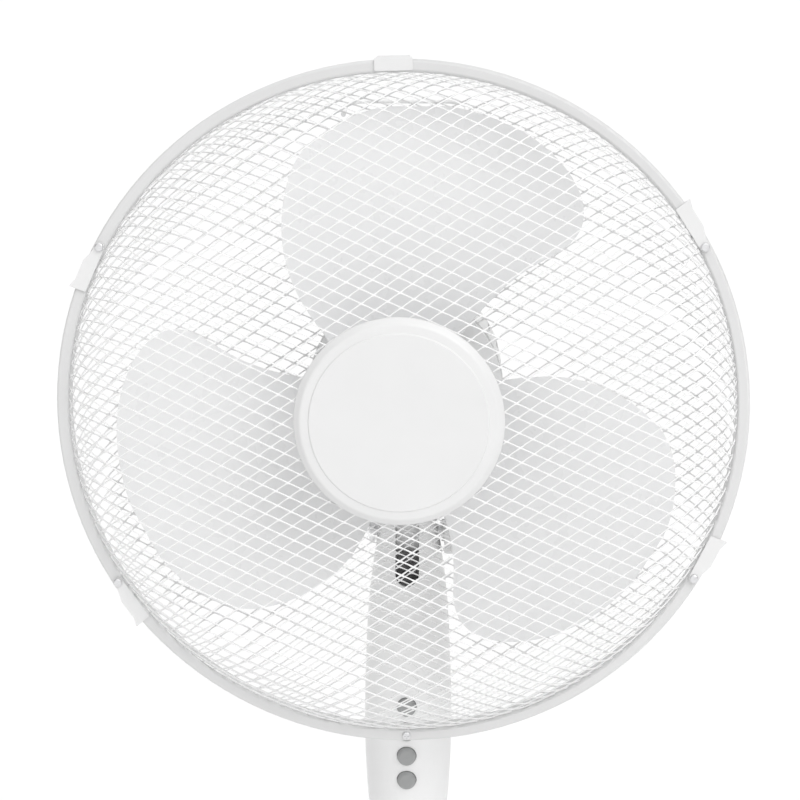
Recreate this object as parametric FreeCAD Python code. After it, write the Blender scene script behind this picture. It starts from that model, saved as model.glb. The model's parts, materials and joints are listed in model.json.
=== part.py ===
"""Pedestal fan, 400 mm class: one STEP file per sub-part, in millimetres.

The fan stands on the floor at z = 0 with its column on the Z axis, and blows towards -Y.
"""
import FreeCAD, Part
import math
import os

V = FreeCAD.Vector
ORIGIN = V(0, 0, 0)
AXIS_X = V(1, 0, 0)
AXIS_Y = V(0, 1, 0)
AXIS_Z = V(0, 0, 1)

# Overall places
HEAD_Z = 1020.0            # height of the fan's axis above the floor
RIM_BACK = 125.0           # how far the guards' joint plane stands in front of the column axis
TILT_BELOW = 112.0         # tilt pin below the fan's axis

# Fits
RUNNING = 0.08             # radial clearance of a shaft that turns or slides
SEATED = 0.03              # radial clearance of a shaft that is fixed
GAP = 0.4                  # air between moving pieces that don't bear on each other

# Guards, in fan coordinates: radius from the fan's axis, and distance forward of the joint plane
RIM_OUTER = 222.5
RIM_INNER = 214.5
RING_DEPTH = 7.5
RING_ROUND = 1.8
STRAND_HALF = 0.6          # half the thickness and width of one strand
STRAND_PITCH = 8.2         # distance between neighbouring strands of one direction
STRAND_TURN = 5.5          # the diamonds' long diagonal leans by this angle
STRAND_HALF_ANGLE = 30.0   # a strand's angle to the long diagonal
LAYER_STEP = 1.5           # second layer of strands lies this far inside the first
MESH_RIM_R = 215.2
MESH_RIM_S = 3.5
FRONT_CROWN = 46.0
FRONT_SHOULDER_R = 168.0
FRONT_SHOULDER_DROP = 7.0
FRONT_HOLE_R = 54.0
REAR_CROWN = 74.0
REAR_SHOULDER_R = 160.0
REAR_SHOULDER_DROP = 10.0
REAR_HOLE_R = 56.0
CLAMP_RING_R = 65.0
CLAMP_RING_SHEET = 1.5

# Centre cap of the front guard
CAP_R = 66.0
CAP_STEP_R = 56.0
CAP_FACE = 52.0
CAP_WALL = 2.0
CAP_SCREW_PCD_R = 38.0

# Carrying handle: its weld height above the fan's axis, place along the axis and upward lean
HANDLE_UP = 185.0
HANDLE_S = -50.5
HANDLE_LEAN = 13.5
HANDLE_HALF_WIDTH = 40.0
HANDLE_REACH = 31.0
HANDLE_BEND_R = 15.0
HANDLE_WIRE_R = 1.6

# Clips on the rim
FIXING_R = 218.5
CLIP_ANGLES = {
    "guard_clip_upper_right": 29.0,
    "guard_clip_upper_left": 151.5,
    "guard_clip_lower_left": 212.0,
    "guard_clip_lower_right": 330.0,
}
HOOK_ANGLE = 91.3
SAFETY_SCREW_ANGLE = 270.9
CLIP_LENGTH = 30.0
CLIP_SHEET = 1.2
CLIP_LEAN = 4.0
RIVET_R = 1.5
RIVET_HEAD_R = 2.8
RIVET_HEAD_H = 1.3

# Impeller
TIP_R = 194.0
BLADE_COUNT = 3
BLADE_S = -20.0            # the blades' mid plane, forward of the joint plane
BLADE_PITCH = 25.0         # axial run of the blade's helix per radian
BLADE_THICK = 2.4
BLADE_CAMBER = 5.0
HUB_R = 36.0
HUB_FRONT = -2.0
HUB_REAR = -50.0
SHAFT_R = 4.0
SHAFT_FRONT = 4.0
# Distance out along the blade, its trailing side and its leading side
BLADE_STATIONS = (
    (30.0, -38.0, 28.0),
    (48.0, -50.0, 42.0),
    (62.0, -60.0, 54.0),
    (78.0, -69.0, 71.0),
    (92.0, -74.0, 93.0),
    (105.0, -76.5, 111.0),
    (122.0, -77.0, 117.0),
    (140.0, -74.5, 112.0),
    (158.0, -68.0, 99.0),
    (174.0, -53.0, 79.0),
    (186.0, -32.0, 53.0),
    (192.0, -10.0, 28.0),
)

# Motor, in fan coordinates
MOTOR_COVER_R = 65.0
COVER_WALL = 2.5
LOUVRE_PITCH = 8.0
LOUVRE_HALF = 1.5          # half the height of a louvre slot
LOUVRE_FIELD_R = 38.0      # the slots in the rear cover end on this circle
COVER_FRONT = -82.0
COVER_SPLIT = -97.0
COVER_REAR = -205.0
STATOR_R = 42.0
STATOR_BORE_R = 23.0
WINDING_IN_R = 25.0
WINDING_OUT_R = 33.0
WINDING_LENGTH = 8.5       # of the end turns on either face of the stator
GAP_TO_STATOR = 0.1
STATOR_FRONT = -104.0
STATOR_REAR = -128.0
ROTOR_R = 22.5
BEARING_R = 11.0
BEARING_LENGTH = 8.0
FRONT_BEARING_S = -83.0
REAR_BEARING_S = -138.5
FRONT_BRACKET_S = -92.0
REAR_BRACKET_S = -140.0
BRACKET_SHEET = 4.0
NOSE_R = 16.0
NOSE_FRONT = -60.0
MOTOR_SCREW_PCD_R = 36.0
MOTOR_SCREW_R = 2.0

# Gearbox, in world X and Y about the column axis, and heights from the fan's axis
GEAR_X = 18.0
GEAR_Y = 40.0
WORM_R = 5.2
WORM_LENGTH = 26.0
WORM_THREAD_PITCH = 2.6
WHEEL_R = 12.3
WHEEL_TEETH = 30
GEARBOX_LEFT = -14.0
GEARBOX_RIGHT = 34.0
GEARBOX_DEPTH = 42.0
GEARBOX_WALL = 2.5
SWIVEL_HALF_WIDTH = 20.0
SWIVEL_FRONT_Y = -31.0
SWIVEL_BACK_Y = 12.0
CAPACITOR_X = -44.0
CAPACITOR_Y = 26.0
CAPACITOR_UP = -8.0        # its lower edge, from the fan's axis
CAPACITOR_WIDTH = 16.0
CAPACITOR_DEPTH = 32.0
CAPACITOR_HEIGHT = 30.0
TOOTH_DEPTH = 1.1
GEAR_SHAFT_R = 3.0
GEARBOX_TOP = 30.0
GEARBOX_BOTTOM = -34.0
CRANK_X = -6.0
CRANK_R = 19.0
CRANK_THROW = 9.0
PINION_R = 4.6
LINK_TOP = -46.2
LINK_SHEET = 2.0
PIVOT_PIN_X = 14.0         # fixed pin of the link arm, beside the column axis

# Oscillation pivot and neck
PIVOT_R = 6.0
BOSS_R = 11.0
BOSS_BOTTOM = -72.0
BOSS_TOP = -52.0
NECK_FLANGE_R = 23.0
NECK_FLANGE_TOP = -74.0
NECK_FLANGE_BOTTOM = -82.0
TONGUE_THICK = 16.0
TONGUE_R = 15.0
TURRET_R = 27.0

# Tilt joint and control housing
TILT_BOLT_R = 4.0
TILT_JOINT_HALF = 23.7     # from the middle to the bolt's head and to the knob
FORK_GAP = 16.6
CHEEK_DEPTH = 13.5         # half the fork cheeks' depth, and the radius of their round tops
CHEEK_SHEET = 4.6
MAST_R = 15.0
FORK_R = 24.0
SLOT_FRONT_BELOW = 146.5   # bottom of the front slot below the fan's axis
SLOT_REAR_BELOW = 118.0
HOUSING_WALL = 2.5
# Below the fan's axis: the housing's half width, half depth and the middle of its depth
HOUSING_STATIONS = (
    (88.0, 19.0, 24.0, 0.0),
    (112.0, 21.5, 24.5, 0.0),
    (157.0, 27.5, 28.5, -1.0),
    (200.0, 30.0, 31.0, -2.0),
    (236.0, 31.0, 32.0, -2.0),
    (274.0, 30.7, 31.5, -2.0),
    (315.0, 28.2, 28.5, -1.0),
    (350.0, 23.5, 23.5, 0.0),
)
BUTTON_TOP_BELOW = 232.3
BUTTON_PITCH = 18.2
BUTTON_R = 6.6
BUTTON_HOLE_GAP = 0.4
BUTTON_TRAVEL = 4.0
BUTTON_NAMES = ("button_off", "button_low", "button_medium", "button_high")
BUTTON_DEPTH = 6.5
BUTTON_PROUD = 3.6         # how far a button stands out of the housing
SWITCH_HALF_WIDTH = 9.0
SWITCH_HALF_HEIGHT = 36.0
SWITCH_BACK_Y = -16.5
STEM_R = 3.0
STEM_LENGTH = 6.0

# Poles
INNER_POLE_R = 12.5
OUTER_POLE_R = 16.0
POLE_WALL = 1.2
OUTER_POLE_TOP = 440.0
INNER_POLE_BOTTOM = 290.0
INNER_POLE_TOP = 738.0
COLLAR_BOTTOM = 415.0
COLLAR_TOP = 475.0
COLLAR_R = 23.0
POLE_BUSH_R = 15.4

# Cross base
LEG_LENGTH = 650.0
LEG_FLAT = 260.0
LEG_DROOP = 4.5            # slope of each leg's outer part, in degrees
LEG_BEND_R = 120.0
LEG_WIDTH = 40.0
LEG_HEIGHT = 20.0
LEG_WALL = 1.4
LEG_CENTRE_Z = 36.0
SHOE_COVERS = 36.0         # length of tube inside a leg's end cap
SHOE_WALL = 2.2
NOSE_BACK = 4.0            # centre of the cap's round nose, back from the tube's end
FOOT_BACK = 7.0
FOOT_R = 15.0
PAD_THICK = 3.0
SOCKET_R = 22.0
SOCKET_FLANGE_R = 52.0
SOCKET_TOP = 112.0
BASE_BOLT_R = 3.0
BASE_BOLT_PCD_R = 40.0
BASE_COVER_R = 76.0


# ---------------------------------------------------------------- helpers

def rod(radius, start, direction, length):
    """A solid cylinder from start along direction."""
    return Part.makeCylinder(radius, length, start, direction)


def sleeve(outer, inner, start, direction, length):
    """A straight tube from start along direction."""
    return rod(outer, start, direction, length).cut(rod(inner, start, direction, length))


def block(low, high):
    """A box between two opposite corners."""
    size = high - low
    return Part.makeBox(size.x, size.y, size.z, low)


def rounded_wire(corners):
    """A closed wire through (point, radius) corners, each corner rounded by its radius."""
    edges = []
    count = len(corners)
    first_end = None
    last_end = None
    for index in range(count):
        point, radius = corners[index]
        before = (corners[index - 1][0] - point).normalize()
        after = (corners[(index + 1) % count][0] - point).normalize()
        turn = before.getAngle(after)
        reach = radius / math.tan(turn / 2) if radius else 0.0
        enter = point + before * reach
        leave = point + after * reach
        if last_end is None:
            first_end = enter
        elif (enter - last_end).Length > 1e-6:
            edges.append(Part.LineSegment(last_end, enter).toShape())
        if radius:
            middle = (before + after).normalize()
            depth = radius / math.sin(turn / 2) - radius
            edges.append(Part.Arc(enter, point + middle * depth, leave).toShape())
        last_end = leave
    if (first_end - last_end).Length > 1e-6:
        edges.append(Part.LineSegment(last_end, first_end).toShape())
    return Part.Wire(edges)


def lathe(corners):
    """Revolve a closed outline of (radius, height, rounding) corners about the Z axis."""
    wire = rounded_wire([(V(r, 0, z), rounding) for r, z, rounding in corners])
    return Part.Face(wire).revolve(ORIGIN, AXIS_Z, 360)


def prism(corners, height):
    """Extrude a closed outline of (x, y, rounding) corners upwards from z = 0."""
    wire = rounded_wire([(V(x, y, 0), rounding) for x, y, rounding in corners])
    return Part.Face(wire).extrude(V(0, 0, height))


def around(shape, count, start=0.0):
    """Copies of a shape spaced evenly about the Z axis."""
    copies = []
    for index in range(count):
        copies.append(turned(shape, start + 360.0 * index / count))
    return copies


def turned(shape, degrees, centre=ORIGIN, axis=AXIS_Z):
    copy = shape.copy()
    copy.rotate(centre, axis, degrees)
    return copy


def moved(shape, x, y, z):
    copy = shape.copy()
    copy.translate(V(x, y, z))
    return copy


def on_head(shape):
    """Place a shape drawn in fan coordinates, where +Z is forward and +Y is up."""
    return moved(turned(shape, 90, ORIGIN, AXIS_X), 0, -RIM_BACK, HEAD_Z)


def arc_rod(start, middle, end, radius):
    """A round wire bent along the arc through three points."""
    curve = Part.Arc(start, middle, end).toShape()
    tangent = curve.tangentAt(curve.FirstParameter)
    circle = curve.Curve
    disc = Part.Face(Part.Wire(Part.makeCircle(radius, start, tangent)))
    degrees = math.degrees(curve.LastParameter - curve.FirstParameter)
    return disc.revolve(circle.Center, circle.Axis, degrees)


def arc_bar(start, middle, end, half):
    """A square bar bent along the arc through three points, two of its sides facing the arc's centre."""
    curve = Part.Arc(start, middle, end).toShape()
    circle = curve.Curve
    outward = (start - circle.Center).normalize() * half
    sideways = V(circle.Axis).normalize() * half
    corners = [start + outward + sideways, start - outward + sideways]
    corners += [start - outward - sideways, start + outward - sideways]
    section = Part.Face(Part.makePolygon(corners + [corners[0]]))
    sweep = math.degrees(curve.LastParameter - curve.FirstParameter)
    return section.revolve(circle.Center, circle.Axis, sweep)


def cross_headed_screw(radius, length, head_radius, head_height):
    """A round-headed screw standing on z = 0: its head above, its shank below."""
    head = lathe([(0, 0, 0), (head_radius, 0, 0), (head_radius, head_height, head_height * 0.6),
                  (0, head_height, 0)])
    shank = rod(radius, V(0, 0, -length), AXIS_Z, length)
    slot = block(V(-head_radius * 0.6, -0.4, head_height * 0.5), V(head_radius * 0.6, 0.4, head_height))
    return head.fuse(shank).cut(slot).cut(turned(slot, 90)).removeSplitter()


def hexagon_nut(flats, height, bore):
    """A hexagon nut standing on z = 0."""
    radius = flats / math.sqrt(3)
    corners = []
    for index in range(6):
        angle = math.radians(60 * index)
        corners.append((radius * math.cos(angle), radius * math.sin(angle), 0))
    return prism(corners, height).cut(rod(bore, ORIGIN, AXIS_Z, height))


def star_knob(radius, height, lobes, waist):
    """A fluted hand knob standing on z = 0."""
    body = lathe([(0, 0, 0), (radius, 0, 1.0), (radius, height, 3.0), (0, height, 0)])
    flute = rod(waist, V(radius + waist * 0.62, 0, -1), AXIS_Z, height + 2)
    for copy in around(flute, lobes):
        body = body.cut(copy)
    return body


def save(name, *shapes):
    """Write one node: a single solid, or a group of separate solids."""
    solids = []
    for shape in shapes:
        solids.extend(shape.Solids)
    result = solids[0] if len(solids) == 1 else Part.makeCompound(solids)
    result.exportStep("parts/" + name + ".step")
    print(name, len(solids), "solids", round(result.Volume / 1000, 2), "cm3", result.isValid())


# ---------------------------------------------------------------- guards

def sphere_radius(shoulder_r, drop):
    return (shoulder_r ** 2 + drop ** 2) / (2 * drop)


def tangent_arc_middle(start, direction, end):
    """Middle point of the arc that leaves start along direction and reaches end."""
    chord = end - start
    along = V(chord).normalize()
    side = direction - along * direction.dot(along)
    half_turn = direction.getAngle(chord)
    return (start + end) * 0.5 + side.normalize() * (chord.Length / 2 * math.tan(half_turn / 2))


def shoulder_height(crown, shoulder_r, drop, radius):
    """Height of the dome's rounded shoulder at a radius beyond its shallow middle."""
    sphere = sphere_radius(shoulder_r, drop)
    start = V(shoulder_r, 0, crown - drop)
    direction = V(math.sqrt(sphere ** 2 - shoulder_r ** 2), 0, -shoulder_r).normalize()
    end = V(MESH_RIM_R, 0, MESH_RIM_S)
    circle = Part.Arc(start, tangent_arc_middle(start, direction, end), end).toShape().Curve
    return circle.Center.z + math.sqrt(circle.Radius ** 2 - (radius - circle.Center.x) ** 2)


def strand(offset, crown, shoulder_r, drop, hole_r):
    """The pieces of one strand, running along X at y = offset over the dome.

    The dome has a shallow spherical middle and a rounded shoulder down to the rim, so a strand is
    an arc over the middle and a tighter arc down each side, end to end.
    """
    pieces = []
    end_x = math.sqrt(MESH_RIM_R ** 2 - offset ** 2)
    end = V(end_x, offset, MESH_RIM_S)
    if abs(offset) >= shoulder_r - 4:
        top = V(0, offset, shoulder_height(crown, shoulder_r, drop, abs(offset)))
        return [arc_bar(V(-end_x, offset, MESH_RIM_S), top, end, STRAND_HALF)]
    sphere = sphere_radius(shoulder_r, drop)
    level = math.sqrt(sphere ** 2 - offset ** 2)

    def middle_point(x):
        return V(x, offset, crown - sphere + math.sqrt(level ** 2 - x ** 2))

    shoulder_x = math.sqrt(shoulder_r ** 2 - offset ** 2)
    shoulder = middle_point(shoulder_x)
    direction = V(math.sqrt(level ** 2 - shoulder_x ** 2), 0, -shoulder_x).normalize()
    side = arc_bar(shoulder, tangent_arc_middle(shoulder, direction, end), end, STRAND_HALF)
    pieces.append(side)
    pieces.append(side.mirror(ORIGIN, AXIS_X))
    if abs(offset) < hole_r:
        hole_x = math.sqrt(hole_r ** 2 - offset ** 2)
        middle = arc_bar(middle_point(hole_x), middle_point((hole_x + shoulder_x) / 2), shoulder, STRAND_HALF)
        pieces.append(middle)
        pieces.append(middle.mirror(ORIGIN, AXIS_X))
    else:
        pieces.append(arc_bar(middle_point(-shoulder_x), middle_point(0), shoulder, STRAND_HALF))
    return pieces


def guard_mesh(crown, shoulder_r, drop, hole_r):
    """Two crossing directions of strands over one dome, the second just inside the first."""
    strands = []
    count = int(MESH_RIM_R / STRAND_PITCH)
    for side, inset in ((-1, 0.0), (1, LAYER_STEP)):
        for index in range(-count, count + 1):
            pieces = strand(index * STRAND_PITCH, crown - inset, shoulder_r, drop, hole_r)
            for piece in pieces:
                strands.append(turned(piece, STRAND_TURN + side * STRAND_HALF_ANGLE))
    return strands


def guard_ring():
    """Half of the rim: a flat band with a rounded front edge, standing on z = 0."""
    ring = lathe([(RIM_INNER, 0, 0), (RIM_OUTER, 0, 0), (RIM_OUTER, RING_DEPTH, RING_ROUND),
                  (RIM_INNER, RING_DEPTH, RING_ROUND)])
    through = rod(RIVET_R + SEATED, V(FIXING_R, 0, -1), AXIS_Z, RING_DEPTH + 2)
    return ring.cut(turned(through, SAFETY_SCREW_ANGLE))


def front_guard_ring():
    ring = guard_ring()
    through = rod(RIVET_R + SEATED, V(FIXING_R, 0, -1), AXIS_Z, RING_DEPTH + 2)
    for angle in CLIP_ANGLES.values():
        ring = ring.cut(turned(through, angle))
    return ring


def rear(shape):
    """The mirror image behind the joint plane."""
    return shape.mirror(ORIGIN, AXIS_Z)


def centre_cap():
    """Round dish with a bevelled edge and a shallow step, and three screw bosses inside."""
    edge = CAP_FACE - 4.6
    dish = lathe([(0, CAP_FACE, 0), (CAP_STEP_R, CAP_FACE, 0.4), (CAP_STEP_R + 0.8, CAP_FACE - 0.8, 0.3),
                  (CAP_R - 4, CAP_FACE - 1.2, 3.0), (CAP_R, edge, 1.0), (CAP_R, edge - 1.5, 0),
                  (CAP_R - CAP_WALL, edge - 1.5, 0), (CAP_R - 5.5, CAP_FACE - 1.2 - CAP_WALL, 0),
                  (0, CAP_FACE - CAP_WALL, 0)])
    bottom = FRONT_CROWN - 3.2
    boss = sleeve(4.0, 1.4, V(CAP_SCREW_PCD_R, 0, bottom), AXIS_Z, CAP_FACE - CAP_WALL + 0.2 - bottom)
    for copy in around(boss, 3, 90):
        dish = dish.fuse(copy)
    return dish


def cap_backing_plate():
    top = FRONT_CROWN - 3.3
    plate = lathe([(0, top - 1.5, 0), (CAP_R - 3, top - 1.5, 0), (CAP_R - 3, top, 0.4), (0, top, 0)])
    for hole in around(rod(1.6, V(CAP_SCREW_PCD_R, 0, top - 2), AXIS_Z, 3), 3, 90):
        plate = plate.cut(hole)
    return plate


def cap_screws():
    back = FRONT_CROWN - 4.85
    screw = turned(cross_headed_screw(1.35, 7.0, 3.0, 1.6), 180, ORIGIN, AXIS_X)
    return around(moved(screw, CAP_SCREW_PCD_R, 0, back), 3, 90)


def rim_clip_sheet(outline, wall_from, wall_to, hook_top):
    """A folded clip: a front plate, a wall outside the rim and a lip behind the rear ring."""
    front = moved(prism(outline, CLIP_SHEET), 0, 0, hook_top - CLIP_SHEET)
    wall_low = RIM_OUTER - FIXING_R + 0.9
    wall = block(V(wall_from, wall_low, -hook_top), V(wall_to, wall_low + CLIP_SHEET, hook_top))
    lip = block(V(wall_from, -1.0, -hook_top), V(wall_to, wall_low + CLIP_SHEET, CLIP_SHEET - hook_top))
    return front.fuse(wall).fuse(lip).removeSplitter()


def swing_clip(angle):
    """A clip that turns about its rivet and hooks behind the rear ring at its free end."""
    outer = RIM_OUTER - FIXING_R + 0.9 + CLIP_SHEET
    outline = [(-3.2, -3.2, 3.1), (CLIP_LENGTH, -3.2, 0.8), (CLIP_LENGTH + 1.0, outer + 2.0, 0.5),
               (CLIP_LENGTH - 5.0, outer, 1.0), (12.0, outer, 1.5), (4.0, 3.2, 1.5), (-3.2, 3.2, 3.1)]
    hook_top = RING_DEPTH + GAP + CLIP_SHEET
    clip = rim_clip_sheet(outline, 14.0, CLIP_LENGTH - 1.0, hook_top)
    clip = clip.cut(rod(RIVET_R + RUNNING, V(0, 0, 0), AXIS_Z, hook_top + 1))
    return turned(placed_on_rim(turned(clip, -CLIP_LEAN)), angle)


def placed_on_rim(shape):
    """Move a clip drawn with x along the rim and y outwards to the rim's fixing circle."""
    mirrored = turned(shape, -90).mirror(ORIGIN, AXIS_Y)
    return moved(mirrored, FIXING_R, 0, 0)


def clip_rivets():
    """Rivet with a domed head in front of the clip and a shank into the front ring."""
    under_head = RING_DEPTH + 2 * GAP + CLIP_SHEET
    head = lathe([(0, 0, 0), (RIVET_HEAD_R, 0, 0), (RIVET_HEAD_R, RIVET_HEAD_H, 0.9), (0, RIVET_HEAD_H, 0)])
    shank = rod(RIVET_R, V(0, 0, 1.0 - under_head), AXIS_Z, under_head - 1.0)
    rivet = moved(head.fuse(shank), FIXING_R, 0, under_head)
    return [turned(rivet, angle) for angle in CLIP_ANGLES.values()]


def top_hook():
    """The fixed hook over the top of the rim."""
    outer = RIM_OUTER - FIXING_R + 0.9 + CLIP_SHEET
    half = 12.0
    outline = [(-half, -3.0, 1.0), (half, -3.0, 1.0), (half, outer - 1.6, 0.4), (half - 2.0, outer, 0.4),
               (2.0 - half, outer, 0.4), (-half, outer - 1.6, 0.4)]
    hook = rim_clip_sheet(outline, 2.0 - half, half - 2.0, RING_DEPTH + 0.05 + CLIP_SHEET)
    return turned(placed_on_rim(hook), HOOK_ANGLE)


def safety_screw():
    screw = cross_headed_screw(RIVET_R, 2 * RING_DEPTH + 4.0, RIVET_HEAD_R, 1.8)
    return turned(moved(screw, FIXING_R, 0, RING_DEPTH + 0.02), SAFETY_SCREW_ANGLE)


def safety_nut():
    nut = moved(hexagon_nut(5.5, 2.4, RIVET_R + SEATED), FIXING_R, 0, -RING_DEPTH - 2.42)
    return turned(nut, SAFETY_SCREW_ANGLE)


def guard_plate():
    """The plate that carries the rear guard on the motor's nose."""
    back = -REAR_CROWN - 3.2
    return lathe([(NOSE_R + 0.2, back, 0), (66.0, back, 0), (66.0, back + 1.8, 0.5),
                  (NOSE_R + 0.2, back + 1.8, 0)])


def clamp_ring_back():
    """Just in front of the inner strands where the clamp ring's edge meets them."""
    drop = CLAMP_RING_R ** 2 / (2 * sphere_radius(REAR_SHOULDER_R, REAR_SHOULDER_DROP))
    return LAYER_STEP + drop + STRAND_HALF + 0.1 - REAR_CROWN


def guard_clamp_ring():
    """The ring that presses the rear mesh on its plate."""
    back = clamp_ring_back()
    return lathe([(34.0, back, 0), (CLAMP_RING_R, back, 0), (CLAMP_RING_R, back + CLAMP_RING_SHEET, 0.5),
                  (34.0, back + CLAMP_RING_SHEET, 0)])


def guard_lock_nut():
    """The plastic nut on the motor's nose that holds the rear guard."""
    back = clamp_ring_back() + CLAMP_RING_SHEET + 0.05
    nut = lathe([(NOSE_R + 0.1, back, 0), (42.0, back, 0), (42.0, back + 2.5, 0.8), (30.0, back + 2.5, 1.0),
                 (28.0, back + 11.0, 1.5), (NOSE_R + 0.1, back + 11.0, 0)])
    notch = rod(3.0, V(31.5, 0, back + 2.6), AXIS_Z, 12)
    for copy in around(notch, 12):
        nut = nut.cut(copy)
    return nut


def carry_handle():
    """A bent wire bail welded behind the top of the rear guard, leaning up a little."""
    half = HANDLE_HALF_WIDTH
    reach = HANDLE_REACH
    bend = HANDLE_BEND_R
    side = rod(HANDLE_WIRE_R, V(half, 0, 0), V(0, 0, -1), reach - bend)
    centre = V(half - bend, 0, bend - reach)
    middle = centre + V(1, 0, -1).normalize() * bend
    corner = arc_rod(V(half, 0, bend - reach), middle, V(half - bend, 0, -reach), HANDLE_WIRE_R)
    loop = rod(HANDLE_WIRE_R, V(bend - half, 0, -reach), AXIS_X, 2 * (half - bend))
    for piece in (side, corner):
        loop = loop.fuse(piece).fuse(piece.mirror(ORIGIN, AXIS_X))
    loop = turned(loop.removeSplitter(), HANDLE_LEAN, ORIGIN, AXIS_X)
    return moved(loop, 0, HANDLE_UP, HANDLE_S)


# ---------------------------------------------------------------- impeller and motor

def blade_surface_point(out, across, lift):
    """A point of the blade: a helix with a little camber, lifted forward of its middle surface."""
    angle = math.atan2(across, out)
    span = across / TIP_R
    bow = BLADE_CAMBER * (0.25 - span ** 2) * 2
    return V(across, out, BLADE_S - BLADE_PITCH * angle + bow + lift)


def blade_section(out, trailing, leading):
    """A closed section of the blade across its length, with thin round edges."""
    points = 7
    upper = []
    lower = []
    for index in range(points):
        share = index / (points - 1)
        across = trailing + (leading - trailing) * share
        thick = BLADE_THICK * (0.4 + 0.6 * math.sin(math.pi * share))
        upper.append(blade_surface_point(out, across, thick / 2))
        lower.append(blade_surface_point(out, across, -thick / 2))
    top = Part.BSplineCurve()
    top.interpolate(upper)
    bottom = Part.BSplineCurve()
    bottom.interpolate(lower[::-1])
    lead = Part.LineSegment(upper[-1], lower[-1])
    trail = Part.LineSegment(lower[0], upper[0])
    return Part.Wire([top.toShape(), lead.toShape(), bottom.toShape(), trail.toShape()])


def fan_blade():
    """Three wide blades moulded in one with their hub."""
    sections = [blade_section(*station) for station in BLADE_STATIONS]
    blade = Part.makeLoft(sections, True, False)
    hub = lathe([(SHAFT_R + SEATED, HUB_REAR, 0), (SHAFT_R + 7, HUB_REAR, 0), (SHAFT_R + 7, HUB_FRONT - 6, 0),
                 (HUB_R - 3, HUB_FRONT - 6, 0), (HUB_R - 3, HUB_REAR, 0), (HUB_R, HUB_REAR, 0),
                 (HUB_R, HUB_FRONT, 4.0), (SHAFT_R + SEATED, HUB_FRONT, 0)])
    inside = rod(HUB_R - 2, V(0, 0, HUB_REAR - 5), AXIS_Z, HUB_FRONT - HUB_REAR + 10)
    impeller = hub
    for copy in around(blade, BLADE_COUNT):
        impeller = impeller.fuse(copy.cut(inside))
    return impeller.removeSplitter()


def blade_nut():
    """The screw cap that holds the impeller on its shaft."""
    nut = lathe([(0, HUB_FRONT + 10, 0), (8, HUB_FRONT + 10, 2.0), (14, HUB_FRONT + 4, 2.0),
                 (15, HUB_FRONT + 0.05, 0), (SHAFT_R + SEATED, HUB_FRONT + 0.05, 0),
                 (SHAFT_R + SEATED, SHAFT_FRONT + 0.5, 0), (0, SHAFT_FRONT + 0.5, 0)])
    wing = rod(2.2, V(16.2, 0, HUB_FRONT - 1), AXIS_Z, 12)
    for copy in around(wing, 8):
        nut = nut.cut(copy)
    return nut


def motor_shaft():
    """The shaft from the impeller through the motor into the gearbox."""
    rear_end = RIM_BACK + GEAR_Y + 17.0
    return rod(SHAFT_R, V(0, 0, -rear_end), AXIS_Z, rear_end + SHAFT_FRONT)


def worm():
    """The worm on the shaft's rear end, with its thread as shallow grooves."""
    middle = -RIM_BACK - GEAR_Y
    body = sleeve(WORM_R, SHAFT_R + SEATED, V(0, 0, middle - WORM_LENGTH / 2), AXIS_Z, WORM_LENGTH)
    groove = lathe([(WORM_R - 0.5, -0.5, 0), (WORM_R + 1, -0.9, 0),
                    (WORM_R + 1, 0.9, 0), (WORM_R - 0.5, 0.5, 0)])
    for index in range(-4, 5):
        body = body.cut(moved(groove, 0, 0, middle + WORM_THREAD_PITCH * index))
    return body


def stator():
    """Laminated ring with inner slots for the windings."""
    length = STATOR_FRONT - STATOR_REAR
    ring = sleeve(STATOR_R, STATOR_BORE_R, V(0, 0, STATOR_REAR), AXIS_Z, length)
    slot = rod(3.2, V(STATOR_BORE_R + 6.5, 0, STATOR_REAR - 1), AXIS_Z, length + 2)
    for copy in around(slot, 16, 11.25):
        ring = ring.cut(copy)
    return cut_motor_screws(ring)


def cut_motor_screws(shape):
    hole = rod(MOTOR_SCREW_R + SEATED, V(MOTOR_SCREW_PCD_R, 0, -160), AXIS_Z, 100)
    for copy in around(hole, 4, 45):
        shape = shape.cut(copy)
    return shape


def windings():
    """End turns of the windings on both faces of the stator."""
    shapes = []
    for base in (STATOR_FRONT + GAP_TO_STATOR, STATOR_REAR - GAP_TO_STATOR - WINDING_LENGTH):
        top = base + WINDING_LENGTH
        ring = lathe([(WINDING_IN_R, base, 2.0), (WINDING_OUT_R, base, 2.0),
                      (WINDING_OUT_R, top, 3.0), (WINDING_IN_R, top, 3.0)])
        shapes.append(ring)
    return shapes


def rotor():
    length = STATOR_FRONT - STATOR_REAR
    core = sleeve(ROTOR_R, SHAFT_R + SEATED, V(0, 0, STATOR_REAR), AXIS_Z, length)
    fin = block(V(ROTOR_R - 7, -0.8, STATOR_FRONT), V(ROTOR_R - 1, 0.8, STATOR_FRONT + 4))
    for copy in around(fin, 12):
        core = core.fuse(copy)
    return core


def bearing(middle):
    """A sintered bush bearing around the shaft."""
    half = BEARING_LENGTH / 2
    return lathe([(SHAFT_R + RUNNING, middle - half, 0), (BEARING_R, middle - half, 2.0),
                  (BEARING_R, middle + half, 2.0), (SHAFT_R + RUNNING, middle + half, 0)])


def front_bracket():
    """Front end bracket: a bell with the threaded nose that carries the guard."""
    back = STATOR_FRONT + 0.05
    bell = lathe([(34.5, back, 0), (STATOR_R, back, 0), (STATOR_R, FRONT_BRACKET_S + 4, 4.0),
                  (NOSE_R + 4, -79.0, 1.0), (NOSE_R, -79.0, 0), (NOSE_R, NOSE_FRONT, 1.0),
                  (SHAFT_R + 2, NOSE_FRONT, 0), (SHAFT_R + 2, -78.0, 0), (BEARING_R + SEATED, -78.0, 0),
                  (BEARING_R + SEATED, FRONT_BRACKET_S, 0), (34.5, FRONT_BRACKET_S, 0)])
    return cut_motor_screws(bell)


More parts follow.
